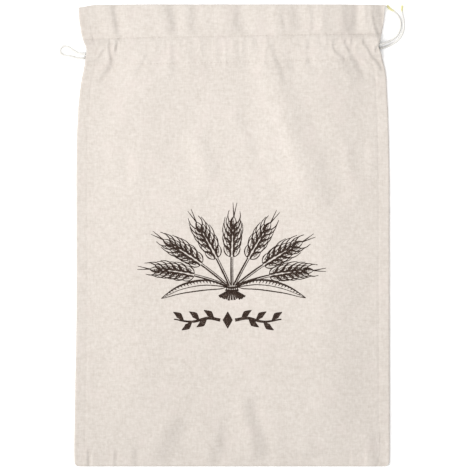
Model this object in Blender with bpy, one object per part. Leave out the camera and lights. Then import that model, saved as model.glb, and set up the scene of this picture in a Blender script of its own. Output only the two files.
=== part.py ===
"""A linen bread bag with a drawcord, lying flat on its back with the mouth a few millimetres open.

Frame: metres, +Z up, +Y towards the mouth, +X to the right when the bag is seen from above.
The origin is on the surface under the middle of the bag. Lengths below are in millimetres.
"""

import math
from collections import namedtuple

import bmesh
import bpy
from mathutils import Vector

MM = 0.001

# The sewn sizes of the bag.
CLOTH = 1.0
SEAM_ALLOWANCE = 9.0
SEAM_GAP = 0.3
BOTTOM_Y = -219.2
TOP_Y = 219.2
NOSE = 0.6
HALF_WIDTH = 150.0
CORNER_RADIUS = 4.0
UPPER_STITCH_Y = 190.0
LOWER_STITCH_Y = 164.5
HEM_BELOW_STITCH = 2.0

# The casing slants a little, because the cord pulls it to the right.
UPPER_STITCH_SLANT = 0.0117
LOWER_STITCH_SLANT = 0.020
STRAIGHT_BELOW_Y = 110.0

# The upper left corner hangs a little lower than the rest of the top edge.
CORNER_DROP = 2.2
CORNER_DROP_FROM_X = -129.0
CORNER_DROP_LENGTH = 17.0

# The cord and the room that it has inside a casing.
CORD_DIAMETER = 2.2
CASING_ROOM = 2.9
CASING_ROUNDNESS = 3.0
CORD_GAP = 0.3

# How the upper panel stands: flat along its seams, and raised in the middle.
RISE_LENGTH = 70.0
EDGE_ROUNDING = 0.7
LOOSE_HEADER_LIFT = 1.6
CREST_SHARE = 0.52
FOLD_ROOM = 2.5
FOLD_FADE = 9.0

# The outline of the bag, drawn in where the cord gathers it.
Station = namedtuple("Station", "y left right")
OUTLINE = (
    Station(-219.2, -149.6, 149.6),
    Station(-203.2, -150.0, 150.0),
    Station(-155.8, -149.3, 150.0),
    Station(-79.9, -147.8, 149.9),
    Station(-4.1, -147.8, 149.8),
    Station(52.8, -147.9, 149.8),
    Station(90.7, -147.6, 149.1),
    Station(119.2, -146.2, 148.3),
    Station(138.1, -144.5, 147.2),
    Station(149.5, -142.7, 146.8),
    Station(157.1, -141.0, 145.8),
    Station(164.7, -139.6, 144.0),
    Station(172.3, -138.4, 142.0),
    Station(176.0, -138.0, 140.6),
    Station(179.8, -138.9, 139.1),
    Station(183.6, -140.7, 140.4),
    Station(189.3, -142.6, 141.6),
    Station(196.9, -143.9, 143.2),
    Station(204.5, -145.2, 144.4),
    Station(219.2, -146.2, 145.8),
)

# The height of the upper panel's top face along the middle of the bag.
Level = namedtuple("Level", "y height")
MIDDLE_LEVELS = (
    Level(-219.2, 4.3),
    Level(-211.0, 5.6),
    Level(-196.0, 8.2),
    Level(-178.0, 10.2),
    Level(-150.0, 11.2),
    Level(-60.0, 11.5),
    Level(80.0, 11.6),
    Level(130.0, 12.3),
    Level(164.5, 13.5),
    Level(190.0, 13.6),
    Level(219.2, 13.6),
)

# Each fold is a soft ridge, or a groove where its height is negative, along a route of x and y.
Fold = namedtuple("Fold", "height width route")
HEADER_FOLDS = (
    Fold(1.3, 7.0, ((-126.0, 228.0), (-115.7, 188.0))),
    Fold(-1.2, 6.0, ((-111.0, 228.0), (-104.3, 188.0))),
    Fold(-0.6, 5.0, ((-96.0, 228.0), (-91.5, 196.0))),
    Fold(1.6, 9.0, ((-71.0, 228.0), (-63.5, 188.0))),
    Fold(-1.4, 6.0, ((-54.0, 228.0), (-52.1, 188.0))),
    Fold(0.4, 5.0, ((-44.6, 228.0), (-44.0, 188.0))),
    Fold(-1.1, 6.0, ((-33.2, 228.0), (-33.2, 188.0))),
    Fold(1.3, 9.0, ((-11.5, 228.0), (-2.8, 188.0))),
    Fold(-1.5, 7.0, ((8.5, 228.0), (13.3, 188.0))),
    Fold(1.4, 6.5, ((40.6, 228.0), (41.7, 188.0))),
    Fold(-0.9, 7.0, ((62.5, 228.0), (67.3, 188.0))),
    Fold(-0.9, 5.0, ((75.8, 228.0), (77.0, 188.0))),
    Fold(0.9, 6.0, ((104.3, 228.0), (105.2, 188.0))),
    Fold(-1.5, 6.0, ((118.0, 228.0), (116.6, 188.0))),
    Fold(1.4, 6.0, ((128.0, 228.0), (131.8, 190.0))),
)
CASING_FOLDS = (
    Fold(0.9, 5.0, ((-122.3, 184.0), (-128.0, 170.0))),
    Fold(-1.1, 5.0, ((-106.2, 186.0), (-111.0, 171.3), (-116.6, 148.0))),
    Fold(0.7, 7.0, ((-87.2, 180.0), (-92.9, 160.9), (-100.0, 140.0))),
    Fold(-0.5, 5.0, ((-66.4, 182.0), (-70.2, 157.0))),
    Fold(0.5, 5.0, ((-59.7, 182.0), (-61.6, 146.0))),
    Fold(-0.5, 5.0, ((-53.0, 188.0), (-53.0, 146.0))),
    Fold(0.6, 5.0, ((-43.6, 186.0), (-38.9, 146.0))),
    Fold(-0.7, 6.0, ((-24.6, 186.0), (-19.0, 146.0))),
    Fold(0.5, 6.0, ((-2.8, 188.0), (-1.9, 160.0))),
    Fold(-0.8, 6.0, ((12.3, 188.0), (16.1, 148.0))),
    Fold(0.6, 5.0, ((48.0, 188.0), (49.0, 170.0))),
    Fold(-0.7, 5.0, ((55.0, 180.0), (60.7, 150.0))),
    Fold(-0.8, 5.0, ((73.0, 188.0), (73.9, 168.5), (84.0, 148.0))),
    Fold(-0.8, 5.0, ((90.0, 184.0), (100.0, 172.0))),
    Fold(1.2, 6.0, ((90.0, 176.0), (105.2, 161.0), (119.0, 142.0))),
    Fold(-1.3, 5.0, ((110.9, 184.0), (121.0, 161.0), (131.0, 144.0))),
    Fold(1.0, 5.0, ((124.5, 186.0), (129.0, 168.0))),
)
BODY_FOLDS = (
    Fold(1.2, 12.0, ((32.2, 180.0), (34.0, 160.0), (43.0, 140.0), (47.0, 112.0), (65.0, 62.0), (69.0, 30.0))),
    Fold(-0.7, 10.0, ((16.1, 151.0), (16.0, 122.0), (30.0, 62.0), (31.0, 40.0))),
    Fold(-1.0, 13.0, ((74.0, 122.0), (97.0, 62.0), (102.0, 25.0))),
    Fold(0.9, 11.0, ((-38.0, 100.0), (-22.8, 62.3), (-20.0, 36.0))),
    Fold(-0.5, 9.0, ((-62.0, 96.0), (-51.0, 60.0))),
    Fold(0.6, 10.0, ((-87.0, 96.0), (-84.0, 50.0))),
    Fold(0.5, 9.0, ((-104.0, 140.0), (-112.0, 60.0))),
)
BOTTOM_FOLDS = (
    Fold(-0.7, 5.0, ((-109.0, -204.0), (-109.0, -226.0))),
    Fold(-0.7, 5.0, ((-91.0, -198.0), (-89.5, -226.0))),
    Fold(1.0, 9.0, ((-58.0, -166.0), (-72.0, -198.4), (-73.9, -226.0))),
    Fold(-0.9, 9.0, ((-37.9, -172.0), (-45.5, -193.7), (-43.6, -226.0))),
    Fold(0.7, 7.0, ((-22.0, -186.0), (-26.5, -226.0))),
    Fold(-1.0, 7.0, ((-7.6, -170.0), (-3.8, -195.6), (3.5, -226.0))),
    Fold(1.6, 7.0, ((8.0, -152.0), (12.3, -176.6), (18.0, -193.7), (21.0, -226.0))),
    Fold(-1.3, 6.0, ((21.0, -152.0), (26.5, -176.6), (34.0, -195.6), (38.0, -226.0))),
    Fold(-0.6, 7.0, ((48.0, -188.0), (61.0, -226.0))),
    Fold(0.5, 7.0, ((71.0, -188.0), (72.0, -226.0))),
    Fold(-0.5, 6.0, ((107.0, -200.0), (107.0, -226.0))),
)
FOLDS = HEADER_FOLDS + CASING_FOLDS + BODY_FOLDS + BOTTOM_FOLDS

# The lower panel's header lifts off the surface in a few low waves.
BACK_FOLDS = (
    Fold(1.1, 12.0, ((-74.0, 234.0), (-70.0, 196.0))),
    Fold(0.8, 10.0, ((-14.0, 234.0), (-8.0, 198.0))),
    Fold(1.2, 12.0, ((48.0, 234.0), (44.0, 196.0))),
    Fold(0.7, 10.0, ((98.0, 234.0), (96.0, 198.0))),
)

# The share of a fold that is left where the casing is tight over the cord.
FOLD_SHARE_OVER_CORD = 0.6

# The rows of the mesh: heights up the bag, then shares of the way up the casing. A row may slant and drop.
Row = namedtuple("Row", "y slant drop")
BOTTOM_ROWS = (-219.2, -218.4, -216.4, -210.2, -209.2, -202.0, -193.0, -184.0, -174.0, -162.0)
BODY_ROWS = (-140.0, -105.0, -65.0, -25.0, 15.0, 40.0, 62.0, 82.0, 102.0, 118.0, 132.0, 143.0, 152.0)
CASING_ROWS = (0.0, 0.12, 0.30, 0.50, 0.70, 0.88, 1.0)
HEADER_ROWS = (197.0, 204.0, 211.0, TOP_Y - NOSE)
BACK_BOTTOM_ROWS = (-219.2, -218.4, -216.4, -210.2, -209.2, -190.0)
BACK_BODY_ROWS = (-140.0, -60.0, 20.0, 90.0, 140.0)
HEM_STEP = 1.0

# The columns of the mesh: distances in from a side edge, and counts between them.
EDGE_COLUMNS = (0.0, 1.0, 4.5, SEAM_ALLOWANCE, SEAM_ALLOWANCE + 1.0, 15.0)
FRONT_MIDDLE_COLUMNS = 48
BACK_MIDDLE_COLUMNS = 18

# Where the cord crosses each casing's open ends, as y at the left and at the right.
Crossing = namedtuple("Crossing", "left_y right_y points")
FRONT_CROSSING = Crossing(172.4, 181.0, 33)
BACK_CROSSING = Crossing(169.9, 178.0, 14)

# The routes of the free cord, from the casing's ends over the surface.
LOOP_ROUTE = (
    (-144.6, 172.6, 6.0),
    (-148.5, 174.6, 3.5),
    (-152.0, 177.1, 1.9),
    (-154.6, 178.8, 1.3),
    (-157.0, 179.9, 1.1),
    (-159.5, 180.2, 1.1),
    (-161.7, 179.3, 1.1),
    (-163.1, 177.4, 1.1),
    (-163.3, 175.0, 1.1),
    (-162.1, 172.9, 1.1),
    (-159.9, 171.7, 1.1),
    (-157.0, 171.3, 1.1),
    (-153.3, 170.6, 1.1),
    (-149.4, 169.5, 1.1),
    (-145.6, 168.8, 1.4),
    (-141.8, 168.9, 2.1),
)
TAIL_FRONT_ROUTE = (
    (143.8, 182.5, 6.4),
    (147.6, 184.0, 4.0),
    (151.8, 186.1, 2.0),
    (156.0, 189.4, 1.2),
    (158.9, 193.8, 1.1),
    (160.3, 199.0, 1.1),
    (160.0, 204.4, 1.1),
    (157.8, 209.3, 1.1),
    (154.0, 213.0, 1.1),
    (149.9, 216.1, 1.1),
    (147.6, 218.9, 1.1),
)
TAIL_BACK_ROUTE = (
    (144.6, 179.0, 1.7),
    (149.2, 180.6, 1.2),
    (154.4, 183.3, 1.1),
    (159.0, 187.3, 1.1),
    (162.0, 192.4, 1.1),
    (163.4, 198.2, 1.1),
    (163.2, 204.4, 1.1),
    (162.0, 210.0, 1.1),
    (161.4, 214.8, 1.1),
    (161.9, 219.0, 1.1),
)
LOOP_POINTS = 24
TAIL_POINTS = 14
CURVE_STEPS = 12


def smooth_step(value):
    """0 up to 0, 1 from 1, and a smooth S between them."""
    value = min(1.0, max(0.0, value))
    return value * value * (3.0 - 2.0 * value)


def between(rows, y, key):
    """The value of a table at y, in straight lines between its rows, which go up in y."""
    for low, high in zip(rows, rows[1:]):
        if y <= high.y:
            break
    share = min(1.0, max(0.0, (y - low.y) / (high.y - low.y)))
    return getattr(low, key) * (1.0 - share) + getattr(high, key) * share


def upper_stitch(x):
    return UPPER_STITCH_Y + UPPER_STITCH_SLANT * x


def lower_stitch(x):
    return LOWER_STITCH_Y + LOWER_STITCH_SLANT * x


def casing_share(x, y):
    """0 at the lower stitch line, 1 at the upper one."""
    return (y - lower_stitch(x)) / (upper_stitch(x) - lower_stitch(x))


def casing_swell(x, y):
    """How far the two layers of the casing stand apart, round the cord."""
    share = casing_share(x, y)
    if share <= 0.0 or share >= 1.0:
        return 0.0
    return CASING_ROOM * (1.0 - abs(2.0 * share - 1.0) ** CASING_ROUNDNESS)


def thickness(x, y, edge):
    """The cloth's thickness without the casing's hollow: one layer, or two at a hem or a seam."""
    hem = (y - (lower_stitch(x) - HEM_BELOW_STITCH - HEM_STEP)) / HEM_STEP
    side = (SEAM_ALLOWANCE + 1.0) - edge
    foot = (SEAM_ALLOWANCE + 1.0) - (y - BOTTOM_Y)
    return CLOTH * (1.0 + min(1.0, max(0.0, hem, side, foot)))


def fold_height(x, y, folds):
    """The sum of the folds at a point. Each fades out at both ends of its route."""
    total = 0.0
    here = Vector((x, y))
    for fold in folds:
        nearest, along, length = None, 0.0, 0.0
        for start, end in zip(fold.route, fold.route[1:]):
            start, end = Vector(start), Vector(end)
            run = end - start
            share = min(1.0, max(0.0, (here - start).dot(run) / run.length_squared))
            distance = (here - (start + run * share)).length
            if nearest is None or distance < nearest:
                nearest, along = distance, length + run.length * share
            length += run.length
        if nearest > 3.0 * fold.width:
            continue
        fade = smooth_step(along / FOLD_FADE) * smooth_step((length - along) / FOLD_FADE)
        total += fold.height * fade * math.exp(-((nearest / fold.width) ** 2))
    return total


def front_top(x, y, edge):
    """The height of the upper panel's top face. edge is the distance from the nearer side edge."""
    swell = casing_swell(x, y)
    side = 2.0 * (2.0 * CLOTH) + SEAM_GAP + 2.0 * swell
    side += LOOSE_HEADER_LIFT * smooth_step((y - UPPER_STITCH_Y) / (TOP_Y - UPPER_STITCH_Y))
    middle = between(MIDDLE_LEVELS, y, "height") + CREST_SHARE * swell
    level = side + (middle - side) * math.sin(0.5 * math.pi * min(1.0, edge / RISE_LENGTH)) ** 2
    held = 1.0 - (1.0 - FOLD_SHARE_OVER_CORD) * swell / CASING_ROOM
    return level + fold_height(x, y, FOLDS) * held * smooth_step((level - side) / FOLD_ROOM)


def back_bottom(x, y, edge):
    """The height of the lower panel's bottom face: on the surface, but for the header's low waves."""
    return fold_height(x, y, BACK_FOLDS) * smooth_step(edge / RISE_LENGTH)


def body_rows(bottom_rows, middle_rows):
    """The rows from the bottom edge to the hem's raw edge. The upper ones slant, as the casing does."""
    rows = [Row(y, 0.0, 0.0) for y in bottom_rows]
    for y in middle_rows:
        share = smooth_step((y - STRAIGHT_BELOW_Y) / (LOWER_STITCH_Y - STRAIGHT_BELOW_Y))
        rows.append(Row(y, LOWER_STITCH_SLANT * share, 0.0))
    for below in (HEM_BELOW_STITCH + HEM_STEP, HEM_BELOW_STITCH):
        rows.append(Row(LOWER_STITCH_Y - below, LOWER_STITCH_SLANT, 0.0))
    return rows


def top_rows():
    """The casing's rows, from stitch line to stitch line, and the header's, up to the top edge."""
    rows = []
    for share in CASING_ROWS:
        y = LOWER_STITCH_Y + share * (UPPER_STITCH_Y - LOWER_STITCH_Y)
        slant = LOWER_STITCH_SLANT + share * (UPPER_STITCH_SLANT - LOWER_STITCH_SLANT)
        rows.append(Row(y, slant, 0.0))
    for y in HEADER_ROWS:
        share = (y - UPPER_STITCH_Y) / (TOP_Y - UPPER_STITCH_Y)
        rows.append(Row(y, UPPER_STITCH_SLANT * (1.0 - share), CORNER_DROP * smooth_step(share)))
    return rows


def row_y(row, x):
    """Where a row lies at x."""
    corner = smooth_step((CORNER_DROP_FROM_X - x) / CORNER_DROP_LENGTH)
    return row.y + row.slant * x - row.drop * corner


def side_x(y, key):
    """The side edge at y, drawn in at the bottom corner."""
    x = between(OUTLINE, y, key)
    above = y - BOTTOM_Y
    if above < CORNER_RADIUS:
        inset = CORNER_RADIUS - math.sqrt(CORNER_RADIUS**2 - (CORNER_RADIUS - above) ** 2)
        x -= math.copysign(inset, x)
    return x


def column_places(row, middle_count):
    """x across the bag along one row, and its distance from the nearer side edge."""
    left = side_x(row_y(row, -HALF_WIDTH), "left")
    right = side_x(row_y(row, HALF_WIDTH), "right")
    inner_left = left + EDGE_COLUMNS[-1]
    inner_right = right - EDGE_COLUMNS[-1]
    places = [(left + inset, inset) for inset in EDGE_COLUMNS]
    for step in range(1, middle_count + 1):
        x = inner_left + (inner_right - inner_left) * step / (middle_count + 1)
        places.append((x, min(x - left, right - x)))
    places += [(right - inset, inset) for inset in reversed(EDGE_COLUMNS)]
    return places


def panel_section(x, y, edge, swell, is_front):
    """The heights at one place of the outer face, the inner face, and the casing hollow's two sides."""
    layers = thickness(x, y, edge)
    rounding = EDGE_ROUNDING * max(0.0, 1.0 - edge, 1.0 - (y - BOTTOM_Y))
    if is_front:
        top = front_top(x, y, edge)
        return top - rounding, top - layers - swell, top - CLOTH, top - CLOTH - swell
    bottom = back_bottom(x, y, edge)
    return bottom + rounding, bottom + layers + swell, bottom + CLOTH, bottom + CLOTH + swell


def strip(mesh, first, second):
    """A row of quads between two rows of vertices."""
    for column in range(len(first) - 1):
        mesh.faces.new((first[column], first[column + 1], second[column + 1], second[column]))


def side_end(mesh, column, outer, inner, near, far, first_casing_row, nose):
    """The faces that close one side of a panel, with the casing's hollow left open."""
    last = len(near) - 1
    for index in range(len(outer) - 1):
        place = index - first_casing_row
        corners = [line[column] for line in (outer[index], outer[index + 1], inner[index + 1], inner[index])]
        if 0 <= place < last:
            mesh.faces.new(corners[:2] + [near[place + 1][column], near[place][column]])
            mesh.faces.new([far[place][column], far[place + 1][column]] + corners[2:])
        elif place == -1:
            mesh.faces.new(corners[:2] + [near[0][column]] + corners[2:])
        elif place == last:
            mesh.faces.new(corners + [near[-1][column]])
        else:
            mesh.faces.new(corners)
    mesh.faces.new((outer[-1][column], nose[column], inner[-1][column]))


def panel(name, rows, first_casing_row, middle_count, is_front):
    """One cut panel with its hem: two faces, the rolled top edge, and the casing's through hollow."""
    mesh = bmesh.new()
    last_casing_row = first_casing_row + len(CASING_ROWS) - 1
    outer, inner, near, far = [], [], [], []
    for index, row in enumerate(rows):
        lines = [[], [], [], []]
        hollow = first_casing_row < index < last_casing_row
        for x, edge in column_places(row, middle_count):
            y = row_y(row, x)
            swell = casing_swell(x, y) if hollow else 0.0
            for line, height in zip(lines, panel_section(x, y, edge, swell, is_front)):
                line.append(Vector((x, y, height)))
        outer.append([mesh.verts.new(place * MM) for place in lines[0]])
        inner.append([mesh.verts.new(place * MM) for place in lines[1]])
        if first_casing_row <= index <= last_casing_row:
            near.append([mesh.verts.new(place * MM) for place in lines[2]])
            far.append([mesh.verts.new(place * MM) for place in lines[3]] if hollow else near[-1])
    # The cloth turns over at the top edge, which is the middle of the last row's two faces.
    over = Vector((0.0, NOSE * MM, 0.0))
    nose = [mesh.verts.new(0.5 * (low.co + high.co) + over) for low, high in zip(outer[-1], inner[-1])]
    for lower, upper in zip(outer, outer[1:]):
        strip(mesh, lower, upper)
    for lower, upper in zip(inner, inner[1:]):
        strip(mesh, upper, lower)
    for first, second in ((inner[0], outer[0]), (outer[-1], nose), (nose, inner[-1])):
        strip(mesh, first, second)
    for lower, upper in zip(near, near[1:]):
        strip(mesh, upper, lower)
    for lower, upper in zip(far, far[1:]):
        strip(mesh, lower, upper)
    for column in (0, -1):
        side_end(mesh, column, outer, inner, near, far, first_casing_row, nose)
    bmesh.ops.recalc_face_normals(mesh, faces=mesh.faces)
    if mesh.calc_volume(signed=True) < 0.0:
        bmesh.ops.reverse_faces(mesh, faces=mesh.faces)
    return add_mesh(name, mesh)


def add_mesh(name, mesh):
    data = bpy.data.meshes.new(name)
    mesh.to_mesh(data)
    mesh.free()
    data.shade_smooth()
    data.set_sharp_from_angle(angle=math.radians(50.0))
    item = bpy.data.objects.new(name, data)
    bpy.context.scene.collection.objects.link(item)
    return item


def curve_through(route, count):
    """Points at even steps along a smooth curve through the route's own points."""
    points = [Vector(place) for place in route]
    padded = [2.0 * points[0] - points[1]] + points + [2.0 * points[-1] - points[-2]]
    fine = []
    for a, b, c, d in zip(padded, padded[1:], padded[2:], padded[3:]):
        for step in range(CURVE_STEPS):
            t = step / CURVE_STEPS
            bend = (2.0 * a - 5.0 * b + 4.0 * c - d) * t**2 + (3.0 * b - a - 3.0 * c + d) * t**3
            fine.append(0.5 * (2.0 * b + (c - a) * t + bend))
    fine.append(points[-1])
    lengths = [0.0]
    for start, end in zip(fine, fine[1:]):
        lengths.append(lengths[-1] + (end - start).length)
    even, place = [], 0
    for step in range(count):
        target = lengths[-1] * step / (count - 1)
        while place < len(fine) - 2 and lengths[place + 1] < target:
            place += 1
        share = (target - lengths[place]) / (lengths[place + 1] - lengths[place])
        even.append(fine[place].lerp(fine[place + 1], share))
    return even


def cord(name, points):
    """A stretch of the cord, as a round tube with closed ends."""
    data = bpy.data.curves.new(name, "CURVE")
    data.dimensions = "3D"
    data.bevel_depth = 0.5 * CORD_DIAMETER * MM
    data.bevel_resolution = 2
    data.use_fill_caps = True
    spline = data.splines.new("POLY")
    spline.points.add(len(points) - 1)
    for target, place in zip(spline.points, points):
        target.co = (*(place * MM), 1.0)
    item = bpy.data.objects.new(name, data)
    bpy.context.scene.collection.objects.link(item)
    return item


def cord_place_in_casing(x, y, is_front):
    """The middle of a casing's hollow, where the cord runs."""
    left, right = side_x(y, "left"), side_x(y, "right")
    edge = max(0.0, min(x - left, right - x))
    swell = casing_swell(x, y)
    if is_front:
        return front_top(x, y, edge) - CLOTH - 0.5 * swell
    return back_bottom(x, y, edge) + CLOTH + 0.5 * swell


def cord_run(name, crossing, is_front):
    """The cord inside one casing, from end to end."""
    left = side_x(crossing.left_y, "left")
    right = side_x(crossing.right_y, "right")
    points = []
    for step in range(crossing.points):
        share = step / (crossing.points - 1)
        x = left + (right - left) * share
        y = crossing.left_y + (crossing.right_y - crossing.left_y) * share
        points.append(Vector((x, y, cord_place_in_casing(x, y, is_front))))
    cord(name, points)
    return points


def free_cord(name, route, count, after=None, before=None):
    """A free stretch that starts, or also ends, just past the end of a run in a casing."""
    places = [Vector(place) for place in route]
    if after is not None:
        direction = (places[0] - after).normalized()
        places.insert(0, after + direction * CORD_GAP)
    if before is not None:
        direction = (places[-1] - before).normalized()
        places.append(before + direction * CORD_GAP)
    return cord(name, curve_through(places, count))


def material(name, colour, roughness):
    made = bpy.data.materials.new(name)
    made.use_nodes = True
    shader = made.node_tree.nodes["Principled BSDF"]
    shader.inputs["Base Color"].default_value = (*colour, 1.0)
    shader.inputs["Roughness"].default_value = roughness
    shader.inputs["Metallic"].default_value = 0.0
    return made


def clear_scene():
    for item in list(bpy.data.objects):
        bpy.data.objects.remove(item, do_unlink=True)


def build_bag():
    linen = material("linen", (0.76, 0.68, 0.60), 0.92)
    cotton = material("cotton_cord", (0.86, 0.84, 0.79), 0.85)
    front_body = body_rows(BOTTOM_ROWS, BODY_ROWS)
    back_body = body_rows(BACK_BOTTOM_ROWS, BACK_BODY_ROWS)
    panels = (
        panel("front_panel", front_body + top_rows(), len(front_body), FRONT_MIDDLE_COLUMNS, True),
        panel("back_panel", back_body + top_rows(), len(back_body), BACK_MIDDLE_COLUMNS, False),
    )
    front_run = cord_run("cord_front_run", FRONT_CROSSING, True)
    back_run = cord_run("cord_back_run", BACK_CROSSING, False)
    free_cord("cord_loop", LOOP_ROUTE, LOOP_POINTS, after=front_run[0], before=back_run[0])
    free_cord("cord_tail_front", TAIL_FRONT_ROUTE, TAIL_POINTS, after=front_run[-1])
    free_cord("cord_tail_back", TAIL_BACK_ROUTE, TAIL_POINTS, after=back_run[-1])
    for item in bpy.context.scene.collection.objects:
        item.data.materials.append(linen if item in panels else cotton)


clear_scene()
build_bag()
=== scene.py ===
"""The looks of the linen bread bag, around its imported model.

Lengths in the tables are in millimetres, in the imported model's frame: +Z up, +Y towards the mouth,
+X to the right when the bag is seen from above. The origin is on the surface under the middle of the bag.
"""

import math
import random
from collections import namedtuple

import bmesh
import bpy
import numpy as np
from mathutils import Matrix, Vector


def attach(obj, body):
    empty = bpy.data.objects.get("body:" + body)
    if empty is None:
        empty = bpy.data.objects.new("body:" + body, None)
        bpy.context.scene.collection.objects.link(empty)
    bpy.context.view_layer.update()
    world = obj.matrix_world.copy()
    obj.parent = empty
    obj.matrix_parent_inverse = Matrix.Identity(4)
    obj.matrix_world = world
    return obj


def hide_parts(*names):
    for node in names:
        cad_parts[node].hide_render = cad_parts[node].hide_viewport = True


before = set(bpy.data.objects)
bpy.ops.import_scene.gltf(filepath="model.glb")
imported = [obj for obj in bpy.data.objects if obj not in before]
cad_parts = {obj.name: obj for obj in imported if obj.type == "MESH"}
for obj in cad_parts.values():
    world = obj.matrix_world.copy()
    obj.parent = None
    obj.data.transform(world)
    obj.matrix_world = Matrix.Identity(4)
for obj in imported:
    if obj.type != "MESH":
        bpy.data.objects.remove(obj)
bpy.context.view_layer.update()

MM = 0.001

# Sizes shared with the solids
CLOTH = 1
SEAM_ALLOWANCE = 9
SEAM_GAP = 0.3
BOTTOM_Y = -219.2
TOP_Y = 219.2
NOSE = 0.6
HALF_WIDTH = 150
CORNER_RADIUS = 4
UPPER_STITCH_Y = 189.4
LOWER_STITCH_Y = 164.5
HEM_BELOW_STITCH = 2
UPPER_STITCH_SLANT = 0.019
LOWER_STITCH_SLANT = 0.020
STRAIGHT_BELOW_Y = 110
CORNER_DROP = 2.2
CORNER_DROP_FROM_X = -129
CORNER_DROP_LENGTH = 17
CORD_DIAMETER = 2.2
CASING_ROOM = 2.9
CASING_ROUNDNESS = 3
CORD_GAP = 0.3
RISE_LENGTH = 70
LOOSE_HEADER_LIFT = 1.6
CREST_SHARE = 0.52
FOLD_ROOM = 2.5
FOLD_FADE = 9
FOLD_SHARE_OVER_CORD = 0.6
HEM_STEP = 1

# The outline of the bag: y, left edge, right edge.
OUTLINE = np.array((
    (-219.2, -149.6, 149.6), (-203.2, -150, 150), (-155.8, -149.3, 150), (-79.9, -147.8, 149.9),
    (-4.1, -147.8, 149.8), (52.8, -147.9, 149.8), (90.7, -147.6, 149.1), (119.2, -146.2, 148.3),
    (138.1, -144.5, 147.2), (149.5, -142.7, 146.8), (157.1, -141, 145.8), (164.7, -139.6, 144),
    (172.3, -138.4, 142), (176, -138, 140.6), (179.8, -138.9, 139.1), (183.6, -140.7, 140.4),
    (189.3, -142.6, 141.6), (196.9, -143.9, 143.2), (204.5, -145.2, 144.4), (219.2, -146.2, 145.8),
))

# The height of the upper panel's top face along the middle of the bag: y, height.
MIDDLE_LEVELS = np.array((
    (-219.2, 4.3), (-211, 5.6), (-196, 8.2), (-178, 10.2), (-150, 11.2), (-60, 11.5), (80, 11.6),
    (130, 12.3), (164.5, 13.5), (190, 13.6), (219.2, 13.6),
))

# Each fold is a soft ridge, or a groove where its height is negative, along a route of x and y.
Fold = namedtuple("Fold", "height width route")


def routed(kind, rows):
    """Folds or pleats from rows of a height or drop, a width, and the places of a route."""
    return [kind(size, width, route) for size, width, *route in rows]


FOLDS = routed(Fold, (
    # the header
    (1.3, 7, (-126, 228), (-115.7, 188)),
    (-1.2, 6, (-111, 228), (-104.3, 188)),
    (-0.6, 5, (-96, 228), (-91.5, 196)),
    (1.6, 9, (-71, 228), (-63.5, 188)),
    (-1.4, 6, (-54, 228), (-52.1, 188)),
    (0.4, 5, (-44.6, 228), (-44, 188)),
    (-1.1, 6, (-33.2, 228), (-33.2, 188)),
    (1.3, 9, (-11.5, 228), (-2.8, 188)),
    (-1.5, 7, (8.5, 228), (13.3, 188)),
    (1.4, 6.5, (40.6, 228), (41.7, 188)),
    (-0.9, 7, (62.5, 228), (67.3, 188)),
    (-0.9, 5, (75.8, 228), (77, 188)),
    (0.9, 6, (104.3, 228), (105.2, 188)),
    (-1.5, 6, (118, 228), (116.6, 188)),
    (1.4, 6, (128, 228), (131.8, 190)),
    # the casing
    (0.9, 5, (-122.3, 184), (-128, 170)),
    (-1.1, 5, (-106.2, 186), (-111, 171.3), (-116.6, 148)),
    (0.7, 7, (-87.2, 180), (-92.9, 160.9), (-100, 140)),
    (-0.5, 5, (-66.4, 182), (-70.2, 157)),
    (0.5, 5, (-59.7, 182), (-61.6, 146)),
    (-0.5, 5, (-53, 188), (-53, 146)),
    (0.6, 5, (-43.6, 186), (-38.9, 146)),
    (-0.7, 6, (-24.6, 186), (-19, 146)),
    (0.5, 6, (-2.8, 188), (-1.9, 160)),
    (-0.8, 6, (12.3, 188), (16.1, 148)),
    (0.6, 5, (48, 188), (49, 170)),
    (-0.7, 5, (55, 180), (60.7, 150)),
    (-0.8, 5, (73, 188), (73.9, 168.5), (84, 148)),
    (-0.8, 5, (90, 184), (100, 172)),
    (1.2, 6, (90, 176), (105.2, 161), (119, 142)),
    (-1.3, 5, (110.9, 184), (121, 161), (131, 144)),
    (1, 5, (124.5, 186), (129, 168)),
    # the body
    (1.2, 12, (32.2, 180), (34, 160), (43, 140), (47, 112), (65, 62), (69, 30)),
    (-0.7, 10, (16.1, 151), (16, 122), (30, 62), (31, 40)),
    (-1, 13, (74, 122), (97, 62), (102, 25)),
    (0.9, 11, (-38, 100), (-22.8, 62.3), (-20, 36)),
    (-0.5, 9, (-62, 96), (-51, 60)),
    (0.6, 10, (-87, 96), (-84, 50)),
    (0.5, 9, (-104, 140), (-112, 60)),
    # the bottom
    (-0.7, 5, (-109, -204), (-109, -226)),
    (-0.7, 5, (-91, -198), (-89.5, -226)),
    (1, 9, (-58, -166), (-72, -198.4), (-73.9, -226)),
    (-0.9, 9, (-37.9, -172), (-45.5, -193.7), (-43.6, -226)),
    (0.7, 7, (-22, -186), (-26.5, -226)),
    (-1, 7, (-7.6, -170), (-3.8, -195.6), (3.5, -226)),
    (1.6, 7, (8, -152), (12.3, -176.6), (18, -193.7), (21, -226)),
    (-1.3, 6, (21, -152), (26.5, -176.6), (34, -195.6), (38, -226)),
    (-0.6, 7, (48, -188), (61, -226)),
    (0.5, 7, (71, -188), (72, -226)),
    (-0.5, 6, (107, -200), (107, -226)),
))

# The lower panel's header lifts off the surface in a few low waves.
BACK_FOLDS = routed(Fold, (
    (1.1, 12, (-74, 234), (-70, 196)),
    (0.8, 10, (-14, 234), (-8, 198)),
    (1.2, 12, (48, 234), (44, 196)),
    (0.7, 10, (98, 234), (96, 198)),
))

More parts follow.
